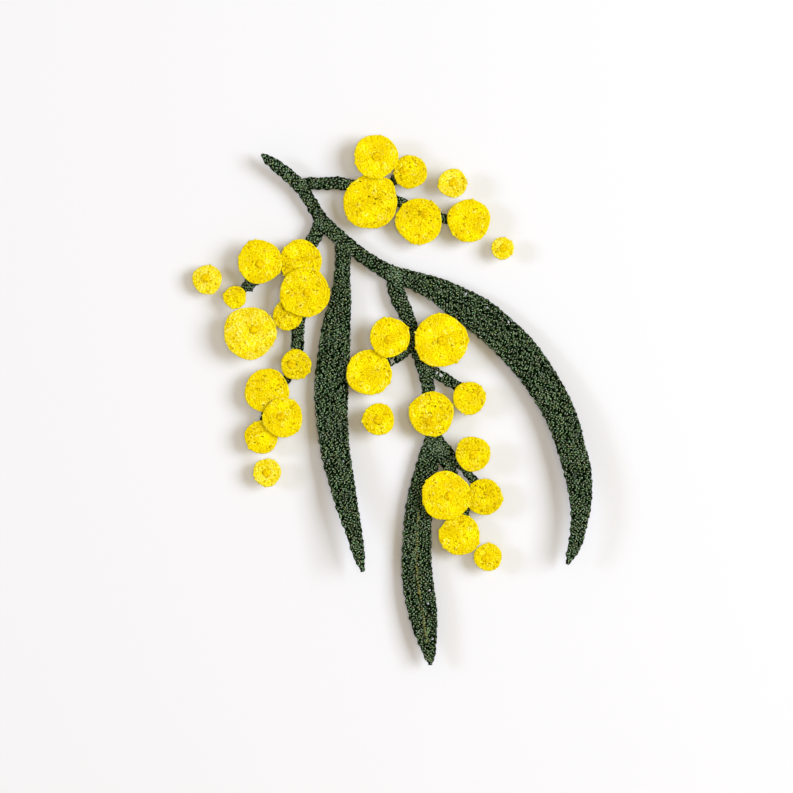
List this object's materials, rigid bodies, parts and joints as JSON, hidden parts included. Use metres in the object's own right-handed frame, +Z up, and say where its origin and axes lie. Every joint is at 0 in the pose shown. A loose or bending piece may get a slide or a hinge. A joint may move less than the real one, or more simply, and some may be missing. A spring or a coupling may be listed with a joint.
{
  "type": "stitched thread mimosa sprig",
  "caption": "Flat decorative mimosa sprig of stitched thread lace, with three long green leaves and round yellow flower heads, held off a surface on pins with low round heads.",
  "frame": {"origin": "on the surface that the pins stand on, under the middle of the sprig's outline", "axes": "+Z up from that surface towards the viewer, +Y along the sprig towards its cut stem end, +X to the right of a viewer who looks down on it with the stem end at the top"},
  "size_m": [0.16, 0.212, 0.0126],
  "materials": {
    "green_thread": "dark green stitched thread with a soft sheen",
    "yellow_thread": "bright yellow stitched thread with a soft sheen",
    "pin": "low round cap of yellow plastic on a bright steel wire"
  },
  "bodies": {
    "root": {"green_lace": "green_thread", "head_01": "yellow_thread", "head_02": "yellow_thread", "head_03": "yellow_thread", "head_04": "yellow_thread", "head_05": "yellow_thread", "head_06": "yellow_thread", "head_07": "yellow_thread", "head_08": "yellow_thread", "head_09": "yellow_thread", "head_10": "yellow_thread", "head_11": "yellow_thread", "head_12": "yellow_thread", "head_13": "yellow_thread", "head_14": "yellow_thread", "head_15": "yellow_thread", "head_16": "yellow_thread", "head_17": "yellow_thread", "head_18": "yellow_thread", "head_19": "yellow_thread", "head_20": "yellow_thread", "head_21": "yellow_thread", "head_22": "yellow_thread", "head_23": "yellow_thread", "head_24": "yellow_thread", "head_25": "yellow_thread", "head_26": "yellow_thread", "head_27": "yellow_thread", "head_28": "yellow_thread", "head_29": "yellow_thread", "head_30": "yellow_thread", "pin_01": "pin", "pin_02": "pin", "pin_04": "pin", "pin_05": "pin", "pin_07": "pin", "pin_08": "pin", "pin_10": "pin", "pin_12": "pin", "pin_13": "pin", "pin_15": "pin", "pin_17": "pin", "pin_19": "pin", "pin_20": "pin", "pin_21": "pin", "pin_23": "pin", "pin_24": "pin", "pin_26": "pin", "pin_27": "pin", "pin_30": "pin"}
  },
  "joints": []
}
